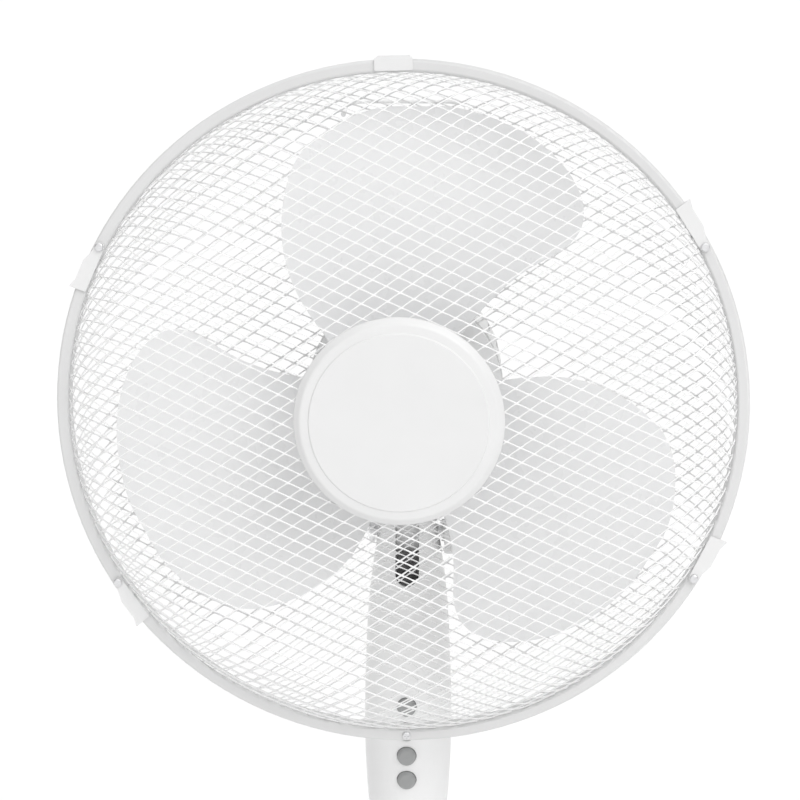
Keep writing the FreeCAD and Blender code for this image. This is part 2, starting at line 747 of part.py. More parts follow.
def rear_bracket():
    """Rear end bracket: a bell closed by the plate that carries the gearbox."""
    front = STATOR_REAR - 0.05
    plate = REAR_BRACKET_S - BRACKET_SHEET
    bell = lathe([(34.5, front, 0), (STATOR_R, front, 0), (STATOR_R, plate, 2.0), (SHAFT_R + 1, plate, 0),
                  (SHAFT_R + 1, plate + 1.5, 0), (BEARING_R + SEATED, plate + 1.5, 0),
                  (BEARING_R + SEATED, REAR_BRACKET_S + 3, 0), (BEARING_R + 3, REAR_BRACKET_S + 3, 0),
                  (BEARING_R + 3, REAR_BRACKET_S, 0), (34.5, REAR_BRACKET_S, 0)])
    return cut_motor_screws(bell)


def motor_screws():
    """Four long screws through the brackets and the stator."""
    front_face = FRONT_BRACKET_S + 1.0
    pocket = cross_headed_screw(MOTOR_SCREW_R, 52.0, 3.6, 1.5)
    return around(moved(pocket, MOTOR_SCREW_PCD_R, 0, front_face + 3.6), 4, 45)


def motor_cover_outline(inset):
    """Half outline of the motor covers, inset by the wall where it is the inside."""
    radius = MOTOR_COVER_R - inset
    return [(0, COVER_REAR + inset, 0), (radius - 15, COVER_REAR + inset, 14.0),
            (radius - 2, COVER_REAR + 38, 24.0), (radius, -150, 20.0), (radius, COVER_FRONT, 0),
            (0, COVER_FRONT, 0)]


def motor_covers():
    """Front and rear covers of the motor, with louvres and the turret around the pivot."""
    outside = lathe(motor_cover_outline(0.0))
    inside = lathe(motor_cover_outline(COVER_WALL))
    shell = on_head(outside.cut(inside))
    turret = rod(TURRET_R, V(0, 0, HEAD_Z + NECK_FLANGE_TOP + 1.2), AXIS_Z, 50)
    turret_inside = rod(TURRET_R - COVER_WALL, V(0, 0, HEAD_Z + NECK_FLANGE_TOP), AXIS_Z, 60)
    turret_skin = turret.cut(turret_inside).cut(on_head(outside))
    shell = shell.fuse(turret_skin).cut(turret_inside.common(block(
        V(-TURRET_R, -TURRET_R, HEAD_Z - 80), V(TURRET_R, TURRET_R, HEAD_Z - 40))))
    knob_hole = rod(6.0, V(GEAR_X, GEAR_Y, HEAD_Z + 40), AXIS_Z, 40)
    shell = shell.cut(knob_hole)
    slit = block(V(46, -1.6, -300), V(70, 1.6, -1))
    ring_zone = sleeve(MOTOR_COVER_R + 5, MOTOR_COVER_R - 8, V(0, 0, -146), AXIS_Z, 26)
    slit = slit.common(ring_zone)
    for angle in range(-30, 211, 12):
        if abs(angle - 90) > 5:
            shell = shell.cut(on_head(turned(slit, angle)))
    for index in range(-4, 5):
        up = LOUVRE_PITCH * index
        width = math.sqrt(LOUVRE_FIELD_R ** 2 - up ** 2)
        louvre = block(V(-width, up - LOUVRE_HALF, COVER_REAR - 5), V(width, up + LOUVRE_HALF, COVER_REAR + 6))
        shell = shell.cut(on_head(louvre))
    split_y = -RIM_BACK - COVER_SPLIT
    large = 200.0
    front_zone = block(V(-large, split_y - large, HEAD_Z - large), V(large, split_y, HEAD_Z + large))
    rear_zone = block(V(-large, split_y, HEAD_Z - large), V(large, split_y + large, HEAD_Z + large))
    return shell.common(front_zone), shell.common(rear_zone)


# ---------------------------------------------------------------- oscillation drive

def at_head(shape, x=0.0, y=0.0):
    """Lift a shape drawn about the column axis, with z from the fan's axis."""
    return moved(shape, x, y, HEAD_Z)


def swivel_base():
    """Plate under the motor with the boss that turns on the pivot shaft."""
    boss = rod(BOSS_R, V(0, 0, BOSS_BOTTOM), AXIS_Z, BOSS_TOP - BOSS_BOTTOM)
    half = SWIVEL_HALF_WIDTH
    under_motor = -STATOR_R - 0.05
    pad_back = FRONT_BRACKET_S + RIM_BACK - 54
    plate = block(V(-half, SWIVEL_FRONT_Y, BOSS_TOP - 5), V(half, SWIVEL_BACK_Y, BOSS_TOP))
    web = block(V(-half, SWIVEL_FRONT_Y, BOSS_TOP - 5), V(half, SWIVEL_FRONT_Y + 4, under_motor))
    pad = block(V(-half, SWIVEL_FRONT_Y, -STATOR_R - 3), V(half, pad_back, under_motor))
    base = boss.fuse(plate).fuse(web).fuse(pad)
    base = base.cut(rod(PIVOT_R + RUNNING, V(0, 0, BOSS_BOTTOM - 1), AXIS_Z, 40))
    return at_head(base.removeSplitter())


def gearbox_housing():
    """Box behind the motor around the worm and its wheel, with the stub of the crank disc."""
    front = -REAR_BRACKET_S + BRACKET_SHEET - RIM_BACK + 0.05
    back = front + GEARBOX_DEPTH
    wall = GEARBOX_WALL
    outer = block(V(GEARBOX_LEFT, front, GEARBOX_BOTTOM), V(GEARBOX_RIGHT, back, GEARBOX_TOP))
    inner = block(V(GEARBOX_LEFT + wall, front + wall, GEARBOX_BOTTOM + wall),
                  V(GEARBOX_RIGHT - wall, back - wall, GEARBOX_TOP + 1))
    box = outer.cut(inner)
    box = box.cut(rod(SHAFT_R + 1, V(0, front - 1, 0), AXIS_Y, 5))
    box = box.cut(rod(GEAR_SHAFT_R + RUNNING, V(GEAR_X, GEAR_Y, GEARBOX_BOTTOM - 1), AXIS_Z, 5))
    stub = rod(3.0, V(CRANK_X, GEAR_Y, GEARBOX_BOTTOM - 7.0), AXIS_Z, 8.0)
    return at_head(box.fuse(stub))


def gearbox_lid():
    front = -REAR_BRACKET_S + BRACKET_SHEET - RIM_BACK + 0.05
    lid = block(V(-14, front, GEARBOX_TOP + 0.05), V(34, front + 42, GEARBOX_TOP + 2.5))
    return at_head(lid.cut(rod(GEAR_SHAFT_R + RUNNING, V(GEAR_X, GEAR_Y, GEARBOX_TOP - 1), AXIS_Z, 5)))


def gear_shaft():
    """Upright shaft with the clutch collar above and the pinion below the gearbox."""
    shaft = rod(GEAR_SHAFT_R, V(GEAR_X, GEAR_Y, GEARBOX_BOTTOM - 6.0), AXIS_Z, 108.0)
    collar = rod(6.0, V(GEAR_X, GEAR_Y, 6.0), AXIS_Z, 5.0)
    pinion = rod(PINION_R, V(GEAR_X, GEAR_Y, GEARBOX_BOTTOM - 6.0), AXIS_Z, 4.5)
    return at_head(shaft.fuse(collar).fuse(pinion).removeSplitter())


def worm_wheel():
    """The toothed wheel that the worm turns."""
    corners = []
    root = WHEEL_R - TOOTH_DEPTH
    for index in range(WHEEL_TEETH):
        for step, radius in ((0.0, root), (0.3, WHEEL_R), (0.6, WHEEL_R), (0.9, root)):
            angle = 2 * math.pi * (index + step) / WHEEL_TEETH
            corners.append((radius * math.cos(angle), radius * math.sin(angle), 0))
    wheel = prism(corners, 8.0).cut(rod(GEAR_SHAFT_R + SEATED, V(0, 0, -1), AXIS_Z, 10))
    return at_head(moved(wheel, GEAR_X, GEAR_Y, -4.0))


def crank_direction():
    """Unit direction from the crank's centre to its pin at mid stroke, square to the link arm."""
    link = V(CRANK_X - PIVOT_PIN_X, GEAR_Y, 0).normalize()
    return V(-link.y, link.x, 0)


def crank_disc():
    """Disc under the gearbox with the pin that swings the link arm."""
    top = GEARBOX_BOTTOM - 1.6
    disc = sleeve(CRANK_R, 3.0 + RUNNING, V(CRANK_X, GEAR_Y, top - 4.0), AXIS_Z, 4.0)
    pin_at = V(CRANK_X, GEAR_Y, 0) + crank_direction() * CRANK_THROW
    pin = rod(2.5, V(pin_at.x, pin_at.y, LINK_TOP + GAP), AXIS_Z, top - 2.0 - LINK_TOP - GAP)
    return at_head(disc.fuse(pin))


def link_arm():
    """Flat arm between the fixed pin beside the pivot and the crank pin."""
    pin_at = V(CRANK_X, GEAR_Y, 0) + crank_direction() * CRANK_THROW
    start = V(PIVOT_PIN_X, 0, 0)
    run = pin_at - start
    bar = prism([(-4.8, -4.8, 4.7), (run.Length + 4.8, -4.8, 4.7), (run.Length + 4.8, 4.8, 4.7),
                 (-4.8, 4.8, 4.7)], LINK_SHEET)
    bar = bar.cut(rod(2.5 + RUNNING, V(0, 0, -1), AXIS_Z, 5)).cut(rod(2.8, V(run.Length, 0, -1), AXIS_Z, 5))
    bar = turned(bar, math.degrees(math.atan2(run.y, run.x)))
    return at_head(moved(bar, start.x, start.y, LINK_TOP - LINK_SHEET))


def pivot_arm():
    """Arm fixed on top of the pivot shaft, with the link arm's fixed pin."""
    top = LINK_TOP - LINK_SHEET - GAP
    arm = prism([(-9.5, -7.5, 6.0), (PIVOT_PIN_X + 5.5, -5.0, 4.5), (PIVOT_PIN_X + 5.5, 5.0, 4.5),
                 (-9.5, 7.5, 6.0)], 3.0)
    arm = moved(arm, 0, 0, top - 3.0)
    pin = rod(2.5, V(PIVOT_PIN_X, 0, top - 1.0), AXIS_Z, LINK_SHEET + GAP + 1.4)
    return at_head(arm.fuse(pin).cut(rod(PIVOT_R + SEATED, V(0, 0, top - 5), AXIS_Z, 10)))


def pivot_shaft():
    bottom = NECK_FLANGE_BOTTOM - 4.0
    top = LINK_TOP - LINK_SHEET - GAP
    return at_head(rod(PIVOT_R, V(0, 0, bottom), AXIS_Z, top - bottom))


def thrust_washer():
    low = NECK_FLANGE_TOP + 0.02
    return at_head(sleeve(18.0, PIVOT_R + SEATED, V(0, 0, low), AXIS_Z, BOSS_BOTTOM - low - 0.05))


def oscillation_knob():
    """Pull knob on the motor cover: up to stop the swing, down to start it."""
    knob = lathe([(GEAR_SHAFT_R + 0.1, 40.0, 0), (5.2, 40.0, 0), (5.2, 69.0, 0), (10.5, 69.0, 1.5),
                  (11.5, 86.0, 3.5), (0, 87.0, 0), (0, 72.0, 0), (GEAR_SHAFT_R + 0.1, 72.0, 0)])
    return moved(knob, GEAR_X, GEAR_Y, HEAD_Z)


def run_capacitor():
    corner = V(CAPACITOR_X, CAPACITOR_Y, CAPACITOR_UP)
    return at_head(block(corner, corner + V(CAPACITOR_WIDTH, CAPACITOR_DEPTH, CAPACITOR_HEIGHT)))


# ---------------------------------------------------------------- neck and tilt joint

def tilt_centre():
    return V(0, 0, HEAD_Z - TILT_BELOW)


def neck():
    """Tongue of the tilt joint with the round flange that the head turns on."""
    half = TONGUE_THICK / 2
    below = -TILT_BELOW
    tongue = rod(TONGUE_R, V(-half, 0, below), AXIS_X, TONGUE_THICK)
    post = block(V(-half, -TONGUE_R, below), V(half, TONGUE_R, NECK_FLANGE_BOTTOM))
    thick = NECK_FLANGE_TOP - NECK_FLANGE_BOTTOM + 3.0
    flange = lathe([(0, 0, 0), (15.0, 0, 3.0), (NECK_FLANGE_R, 5.0, 1.0),
                    (NECK_FLANGE_R, thick, 0), (0, thick, 0)])
    flange = moved(flange, 0, 0, NECK_FLANGE_BOTTOM - 3.0)
    body = tongue.fuse(post).fuse(flange)
    body = body.cut(rod(PIVOT_R + SEATED, V(0, 0, NECK_FLANGE_BOTTOM - 4.0), AXIS_Z, 30))
    body = body.cut(rod(TILT_BOLT_R + RUNNING, V(-half - 1, 0, below), AXIS_X, TONGUE_THICK + 2))
    return at_head(body.removeSplitter())


def tilt_clevis():
    """Casting on top of the inner pole with the two cheeks that hold the neck."""
    low = INNER_POLE_TOP - 50.0
    floor = HEAD_Z - SLOT_FRONT_BELOW - 6.0
    centre = tilt_centre()
    stem = sleeve(MAST_R, INNER_POLE_R + SEATED, V(0, 0, low), AXIS_Z, INNER_POLE_TOP - low)
    mast = rod(MAST_R, V(0, 0, INNER_POLE_TOP), AXIS_Z, floor - INNER_POLE_TOP)
    cheek_low = V(FORK_GAP / 2, -CHEEK_DEPTH, floor - 12.0)
    cheek = block(cheek_low, V(FORK_GAP / 2 + CHEEK_SHEET, CHEEK_DEPTH, centre.z))
    cheek = cheek.fuse(rod(CHEEK_DEPTH, V(FORK_GAP / 2, 0, centre.z), AXIS_X, CHEEK_SHEET))
    clevis = stem.fuse(mast).fuse(cheek).fuse(cheek.mirror(ORIGIN, AXIS_X))
    clevis = clevis.cut(rod(TILT_BOLT_R + SEATED, centre - AXIS_X * 30, AXIS_X, 60))
    clevis = clevis.cut(rod(3.0 + RUNNING, V(0, INNER_POLE_R - 1, low + 24), AXIS_Y, 20))
    return clevis.removeSplitter()


def tilt_bolt():
    """Round-headed bolt through the fork, with its head on the left."""
    centre = tilt_centre()
    head = turned(lathe([(0, 0, 0), (8.0, 0, 0), (8.0, 4.5, 3.0), (0, 4.5, 0)]), -90, ORIGIN, AXIS_Y)
    shank = rod(TILT_BOLT_R, V(-0.5, 0, 0), AXIS_X, 60.0)
    return moved(head.fuse(shank), centre.x - TILT_JOINT_HALF, centre.y, centre.z)


def tilt_knob():
    """Hand knob that tightens the tilt joint."""
    knob = star_knob(17.0, 15.0, 6, 5.0)
    hub = rod(8.0, V(0, 0, -2.0), AXIS_Z, 3.0)
    knob = knob.fuse(hub).cut(rod(TILT_BOLT_R + RUNNING, V(0, 0, -3), AXIS_Z, 15.5))
    knob = turned(knob, 90, ORIGIN, AXIS_Y)
    return moved(knob, TILT_JOINT_HALF + 2.0, 0, tilt_centre().z)


def housing_loft(inset):
    """The tapered, oval body of the control housing, inset for its inside."""
    sections = []
    for below, half_width, half_depth, middle in HOUSING_STATIONS:
        ellipse = Part.Ellipse(V(0, middle, 0), half_depth - inset, half_width - inset)
        edge = ellipse.toShape()
        edge.rotate(V(0, middle, 0), AXIS_Z, 90)
        edge.translate(V(0, 0, HEAD_Z - below))
        sections.append(Part.Wire(edge))
    return Part.makeLoft(sections, True, False)


def housing_top_zone(radius):
    """Everything below the tilt pin, and the round top about the pin."""
    centre = tilt_centre()
    below = block(V(-60, -60, HEAD_Z - 400), V(60, 60, centre.z))
    return below.fuse(rod(radius, centre - AXIS_X * 60, AXIS_X, 120))


def slot_tool(below, front):
    """A rounded slot between the fork's cheeks, open at the top."""
    half = FORK_GAP / 2
    low = HEAD_Z - below + half
    start = V(0, 0, low)
    direction = AXIS_Y * (-1 if front else 1)
    bottom = rod(half, start, direction, 60)
    near, far = (-60, 0) if front else (0, 60)
    return bottom.fuse(block(V(-half, near, low), V(half, far, HEAD_Z - 60)))


def control_housing():
    """Front and rear shells of the housing on the column."""
    outside = housing_loft(0.0).common(housing_top_zone(FORK_R))
    inside = housing_loft(HOUSING_WALL).common(housing_top_zone(FORK_R - HOUSING_WALL))
    bottom_plate = block(V(-60, -60, HEAD_Z - 352), V(60, 60, HEAD_Z - 346))
    shell = outside.cut(inside.cut(bottom_plate))
    for x, below in housing_screw_places():
        boss = rod(3.6, V(x, -40, HEAD_Z - below), AXIS_Y, 80).common(outside)
        shell = shell.fuse(boss)
    shell = shell.cut(slot_tool(SLOT_FRONT_BELOW, True)).cut(slot_tool(SLOT_REAR_BELOW, False))
    shell = shell.cut(rod(INNER_POLE_R + 0.3, V(0, 0, HEAD_Z - 360), AXIS_Z, 30))
    shell = shell.cut(rod(TILT_BOLT_R + 0.3, tilt_centre() - AXIS_X * 60, AXIS_X, 120))
    shell = shell.cut(rod(4.5, V(0, 10, pole_screw_z()), AXIS_Y, 40))
    shell = shell.cut(rod(5.05, V(0, 15, HEAD_Z - 325), AXIS_Y, 30))
    front = shell.common(block(V(-60, -60, HEAD_Z - 400), V(60, -0.05, HEAD_Z)))
    back = shell.common(block(V(-60, 0.05, HEAD_Z - 400), V(60, 60, HEAD_Z)))
    for index in range(len(BUTTON_NAMES)):
        hole = rod(BUTTON_R + BUTTON_HOLE_GAP, V(0, -60, button_z(index)), AXIS_Y, 45)
        front = front.cut(hole)
    for x, below in housing_screw_places():
        pilot = rod(1.5, V(x, -18, HEAD_Z - below), AXIS_Y, 20)
        pocket = rod(3.0, V(x, 8, HEAD_Z - below), AXIS_Y, 60)
        front = front.cut(pilot)
        back = back.cut(rod(1.8, V(x, -1, HEAD_Z - below), AXIS_Y, 60)).cut(pocket)
    return front, back


def housing_screw_places():
    """Sideways place and distance below the fan's axis of the four housing screws."""
    places = []
    for below in (180.0, 312.0):
        places.append((-20.5, below))
        places.append((20.5, below))
    return places


def housing_screws():
    screws = []
    for x, below in housing_screw_places():
        screw = turned(cross_headed_screw(1.45, 18.0, 2.8, 1.8), -90, ORIGIN, AXIS_X)
        screws.append(moved(screw, x, 8.0, HEAD_Z - below))
    return screws


def pole_screw_z():
    return INNER_POLE_TOP - 26.0


def pole_screw():
    """Hand screw that fixes the column head on the inner pole."""
    knob = star_knob(13.0, 13.0, 6, 4.0)
    stud = rod(3.0, V(0, 0, -19.0), AXIS_Z, 20.0)
    screw = turned(knob.fuse(stud), -90, ORIGIN, AXIS_X)
    return moved(screw, 0, 33.0, pole_screw_z())


def cable_gland():
    """Flanged inlet for the mains lead at the back of the housing."""
    gland = lathe([(3.6, -6.0, 0), (5.0, -6.0, 0), (5.0, 3.0, 0),
                   (8.0, 3.0, 0), (7.0, 6.0, 1.0), (3.6, 6.0, 0)])
    return moved(turned(gland, -90, ORIGIN, AXIS_X), 0, 25.0, HEAD_Z - 325)


def button_z(index):
    return HEAD_Z - BUTTON_TOP_BELOW - BUTTON_PITCH * index


def housing_front_y(below):
    """The housing's front surface on its middle line, between its stations."""
    for upper, lower in zip(HOUSING_STATIONS, HOUSING_STATIONS[1:]):
        if below <= lower[0]:
            share = (below - upper[0]) / (lower[0] - upper[0])
            depth = upper[2] + (lower[2] - upper[2]) * share
            middle = upper[3] + (lower[3] - upper[3]) * share
            return middle - depth
    return 0.0


def button(index):
    """Round domed push button with its stem."""
    front = housing_front_y(BUTTON_TOP_BELOW + BUTTON_PITCH * index)
    head = lathe([(0, -BUTTON_DEPTH, 0), (BUTTON_R, -BUTTON_DEPTH, 0), (BUTTON_R, BUTTON_PROUD - 1.6, 1.2),
                  (BUTTON_R * 0.72, BUTTON_PROUD, 2.0), (0, BUTTON_PROUD + 0.3, 0)])
    stem = rod(STEM_R, V(0, 0, -BUTTON_DEPTH - STEM_LENGTH), AXIS_Z, STEM_LENGTH + 1)
    piece = turned(head.fuse(stem), 90, ORIGIN, AXIS_X)
    return moved(piece, 0, front, button_z(index))


def switch_block():
    """The latching switch that the button stems reach into."""
    middle = HEAD_Z - BUTTON_TOP_BELOW - BUTTON_PITCH * 1.5
    body = block(V(-SWITCH_HALF_WIDTH, -27.0, middle - SWITCH_HALF_HEIGHT),
                 V(SWITCH_HALF_WIDTH, SWITCH_BACK_Y, middle + SWITCH_HALF_HEIGHT))
    flange = block(V(-SWITCH_HALF_WIDTH - 5, SWITCH_BACK_Y - 2.0, middle - SWITCH_HALF_HEIGHT - 4),
                   V(SWITCH_HALF_WIDTH + 5, SWITCH_BACK_Y, middle + SWITCH_HALF_HEIGHT + 4))
    body = body.fuse(flange)
    for index in range(len(BUTTON_NAMES)):
        front = housing_front_y(BUTTON_TOP_BELOW + BUTTON_PITCH * index)
        room = BUTTON_DEPTH + BUTTON_TRAVEL + 0.5
        slot = rod(STEM_R + RUNNING, V(0, front, button_z(index)), AXIS_Y, room + STEM_LENGTH)
        pocket = rod(BUTTON_R + 0.6, V(0, front, button_z(index)), AXIS_Y, room)
        body = body.cut(slot).cut(pocket)
    return body.removeSplitter()


# ---------------------------------------------------------------- poles

def outer_pole():
    return sleeve(OUTER_POLE_R, OUTER_POLE_R - POLE_WALL, V(0, 0, SOCKET_TOP - 56), AXIS_Z,
                  OUTER_POLE_TOP - SOCKET_TOP + 56)


def inner_pole():
    pole = sleeve(INNER_POLE_R, INNER_POLE_R - POLE_WALL, V(0, 0, INNER_POLE_BOTTOM), AXIS_Z,
                  INNER_POLE_TOP - INNER_POLE_BOTTOM)
    return pole.cut(rod(3.0 + RUNNING, V(0, 0, pole_screw_z()), AXIS_Y, 20))


def slide_bush():
    """Plastic guide on the lower end of the inner pole."""
    low = INNER_POLE_BOTTOM - 4.0
    return lathe([(INNER_POLE_R - POLE_WALL, low, 0), (OUTER_POLE_R - POLE_WALL - RUNNING, low, 0.8),
                  (OUTER_POLE_R - POLE_WALL - RUNNING, low + 34, 0.8), (INNER_POLE_R + SEATED, low + 34, 0),
                  (INNER_POLE_R + SEATED, low + 3.95, 0), (INNER_POLE_R - POLE_WALL, low + 3.95, 0)])


def pole_bush():
    """Split sleeve in the collar that grips the inner pole."""
    low = OUTER_POLE_TOP + 1.0
    bush = sleeve(POLE_BUSH_R, INNER_POLE_R + RUNNING, V(0, 0, low), AXIS_Z, COLLAR_TOP - low - 3.0)
    return bush.cut(block(V(-20, -1.0, low - 1), V(0, 1.0, COLLAR_TOP)))


def height_collar():
    """Clamp collar on top of the outer pole, with the boss of its hand knob."""
    body = lathe([(0, COLLAR_BOTTOM, 0), (COLLAR_R - 3, COLLAR_BOTTOM, 1.5),
                  (COLLAR_R, COLLAR_BOTTOM + 12, 6.0), (COLLAR_R, COLLAR_TOP - 10, 4.0),
                  (COLLAR_R - 4, COLLAR_TOP, 3.0), (0, COLLAR_TOP, 0)])
    boss = rod(8.5, V(0, 0, OUTER_POLE_TOP + 14), AXIS_X, 30.0)
    body = body.fuse(boss)
    body = body.cut(rod(OUTER_POLE_R + SEATED, V(0, 0, COLLAR_BOTTOM - 1), AXIS_Z,
                        OUTER_POLE_TOP - COLLAR_BOTTOM + 1.02))
    room = COLLAR_TOP - 3.0 - OUTER_POLE_TOP + 0.02
    body = body.cut(rod(POLE_BUSH_R + SEATED, V(0, 0, OUTER_POLE_TOP), AXIS_Z, room))
    body = body.cut(rod(INNER_POLE_R + 0.35, V(0, 0, COLLAR_TOP - 5), AXIS_Z, 10))
    return body.cut(rod(3.5 + RUNNING, V(14, 0, OUTER_POLE_TOP + 14), AXIS_X, 30))


def height_knob():
    """Hand knob with the stud that presses the bush on the inner pole."""
    knob = star_knob(19.0, 17.0, 6, 6.0)
    stud = rod(3.5, V(0, 0, -14.5), AXIS_Z, 16.0)
    screw = turned(knob.fuse(stud), 90, ORIGIN, AXIS_Y)
    return moved(screw, 30.5, 0, OUTER_POLE_TOP + 14)


# ---------------------------------------------------------------- cross base

def leg_section(inset, at, across, upward):
    """Flattened oval section of a leg tube, inset for its inside."""
    half_width = LEG_WIDTH / 2 - inset
    half_height = LEG_HEIGHT / 2 - inset
    rounding = half_height - 0.3
    corners = []
    for x, z in ((-1, -1), (1, -1), (1, 1), (-1, 1)):
        corners.append((at + across * (x * half_width) + upward * (z * half_height), rounding))
    return rounded_wire(corners)


def leg_slope():
    """Direction of a leg's outer part."""
    droop = math.radians(LEG_DROOP)
    return V(math.cos(droop), 0, -math.sin(droop))


def leg_bend():
    """Start, middle and end of the bend between a leg's level part and its drooping part."""
    droop = math.radians(LEG_DROOP)
    reach = LEG_BEND_R * math.tan(droop / 2)
    start = V(LEG_FLAT / 2 - reach, 0, LEG_CENTRE_Z)
    centre = start - AXIS_Z * LEG_BEND_R
    middle = centre + V(math.sin(droop / 2), 0, math.cos(droop / 2)) * LEG_BEND_R
    end = V(LEG_FLAT / 2, 0, LEG_CENTRE_Z) + leg_slope() * reach
    return start, middle, end


def leg_end(length):
    return leg_bend()[2] + leg_slope() * ((length - LEG_FLAT) / 2)


def leg_middle_line(length):
    """Half a leg's middle line, along X: level in the middle, drooping a little to its end."""
    start, middle, end = leg_bend()
    return Part.Wire([Part.LineSegment(V(0, 0, LEG_CENTRE_Z), start).toShape(),
                      Part.Arc(start, middle, end).toShape(),
                      Part.LineSegment(end, leg_end(length)).toShape()])


def leg_solid(inset, length):
    section = leg_section(inset, V(0, 0, LEG_CENTRE_Z), AXIS_Y, AXIS_Z)
    body = leg_middle_line(length).makePipe(Part.Face(section))
    return body.fuse(body.mirror(ORIGIN, AXIS_X)).removeSplitter()


def leg_angle(name):
    return 45.0 if name == "cross_leg_lower" else -45.0


def cross_leg(name):
    """One leg tube, notched in the middle so that the two legs cross at one height."""
    tube = leg_solid(0.0, LEG_LENGTH).cut(leg_solid(LEG_WALL, LEG_LENGTH + 2))
    half_notch = LEG_WIDTH / 2 + 0.4
    if name == "cross_leg_lower":
        notch = block(V(-half_notch, -40, LEG_CENTRE_Z - 0.1), V(half_notch, 40, LEG_CENTRE_Z + 40))
    else:
        notch = block(V(-half_notch, -40, LEG_CENTRE_Z - 40), V(half_notch, 40, LEG_CENTRE_Z + 0.1))
    tube = tube.cut(notch)
    for x in (-BASE_BOLT_PCD_R, BASE_BOLT_PCD_R):
        tube = tube.cut(rod(BASE_BOLT_R + SEATED, V(x, 0, 0), AXIS_Z, 80))
    return turned(tube, leg_angle(name))


def leg_cap():
    """Plastic shoe with a round nose on a leg's end, with the foot that its pad sits under."""
    end = leg_end(LEG_LENGTH)
    slope = leg_slope()
    upward = (AXIS_Z + slope * math.sin(math.radians(LEG_DROOP))).normalize()
    start = end - slope * SHOE_COVERS
    nose_r = LEG_WIDTH / 2 + SHOE_WALL
    nose_x = end.x - NOSE_BACK
    outer = Part.Face(leg_section(-SHOE_WALL, start, AXIS_Y, upward)).extrude(slope * (SHOE_COVERS + nose_r))
    hollow = Part.Face(leg_section(-0.05, start - slope, AXIS_Y, upward)).extrude(slope * (SHOE_COVERS + 1.1))
    nose = rod(nose_r, V(nose_x, 0, 0), AXIS_Z, 60)
    nose = nose.fuse(block(V(0, -60, 0), V(nose_x, 60, 80)))
    foot = rod(FOOT_R, V(end.x - FOOT_BACK, 0, PAD_THICK), AXIS_Z, end.z - PAD_THICK)
    return outer.common(nose).fuse(foot).cut(hollow).removeSplitter()


def foot_pad():
    """Rubber disc under a leg cap."""
    end = leg_end(LEG_LENGTH)
    pad = lathe([(0, 0, 0), (FOOT_R - 1.5, 0, 0.8), (FOOT_R - 0.5, PAD_THICK - 0.02, 0),
                 (0, PAD_THICK - 0.02, 0)])
    return moved(pad, end.x - FOOT_BACK, 0, 0)


def base_socket():
    """Flanged socket that stands the outer pole on the crossed legs."""
    low = LEG_CENTRE_Z + LEG_HEIGHT / 2 + 0.05
    socket = lathe([(0, low, 0), (SOCKET_FLANGE_R, low, 0), (SOCKET_FLANGE_R, low + 4, 1.0),
                    (SOCKET_R + 4, low + 4, 3.0), (SOCKET_R - 1, SOCKET_TOP, 1.5), (0, SOCKET_TOP, 0)])
    socket = socket.cut(rod(OUTER_POLE_R + SEATED, V(0, 0, SOCKET_TOP - 56 - 0.02), AXIS_Z, 80))
    for hole in around(rod(BASE_BOLT_R + SEATED, V(BASE_BOLT_PCD_R, 0, 0), AXIS_Z, 80), 4, 45):
        socket = socket.cut(hole)
    return socket


def base_bolts():
    top = LEG_CENTRE_Z + LEG_HEIGHT / 2 + 4.1
    bolt = cross_headed_screw(BASE_BOLT_R, LEG_HEIGHT + 10.0, 5.5, 3.2)
    return around(moved(bolt, BASE_BOLT_PCD_R, 0, top), 4, 45)


def base_nuts():
    low = LEG_CENTRE_Z - LEG_HEIGHT / 2 - 5.05
    return around(moved(hexagon_nut(10.0, 5.0, BASE_BOLT_R + SEATED), BASE_BOLT_PCD_R, 0, low), 4, 45)


def base_cover():
    """Round dished cover that hides the base bolts."""
    low = LEG_CENTRE_Z + LEG_HEIGHT / 2 + 0.1
    high = 100.0
    wall = 2.0
    cover = lathe([(BASE_COVER_R, low, 0), (BASE_COVER_R, low + 8, 5.0), (SOCKET_R + 14, low + 22, 10.0),
                   (SOCKET_R + 4, high, 1.0), (SOCKET_R + 4 - wall, high, 0), (SOCKET_R + 12, low + 21, 8.0),
                   (BASE_COVER_R - wall, low + 7, 3.5), (BASE_COVER_R - wall, low, 0)])
    return cover


# ---------------------------------------------------------------- write every node

def save_base():
    save("cross_leg_lower", cross_leg("cross_leg_lower"))
    save("cross_leg_upper", cross_leg("cross_leg_upper"))
    save("leg_end_caps", *around(leg_cap(), 4, 45))
    save("foot_pads", *around(foot_pad(), 4, 45))
    save("base_socket", base_socket())
    save("base_bolts", *base_bolts(), *base_nuts())
    save("base_cover", base_cover())
    save("outer_pole", outer_pole())
    save("height_collar", height_collar())
    save("pole_bush", pole_bush())
    save("height_knob", height_knob())


def save_column():
    save("inner_pole", inner_pole())
    save("slide_bush", slide_bush())
    save("tilt_clevis", tilt_clevis())
    front, back = control_housing()
    save("control_housing_front", front)
    save("control_housing_rear", back)
    save("housing_screws", *housing_screws())
    save("pole_screw", pole_screw())
    save("cable_gland", cable_gland())
    save("switch_block", switch_block())
    for index, name in enumerate(BUTTON_NAMES):
        save(name, button(index))
    save("tilt_bolt", tilt_bolt())
    save("tilt_knob", tilt_knob())


def save_swing():
    save("neck", neck())
    save("pivot_shaft", pivot_shaft(), thrust_washer(), pivot_arm())
    save("link_arm", link_arm())
    save("crank_disc", crank_disc())
    save("gear_shaft", gear_shaft(), worm_wheel())
    save("gearbox_housing", gearbox_housing(), gearbox_lid())
    save("oscillation_knob", oscillation_knob())
    save("swivel_base", swivel_base())


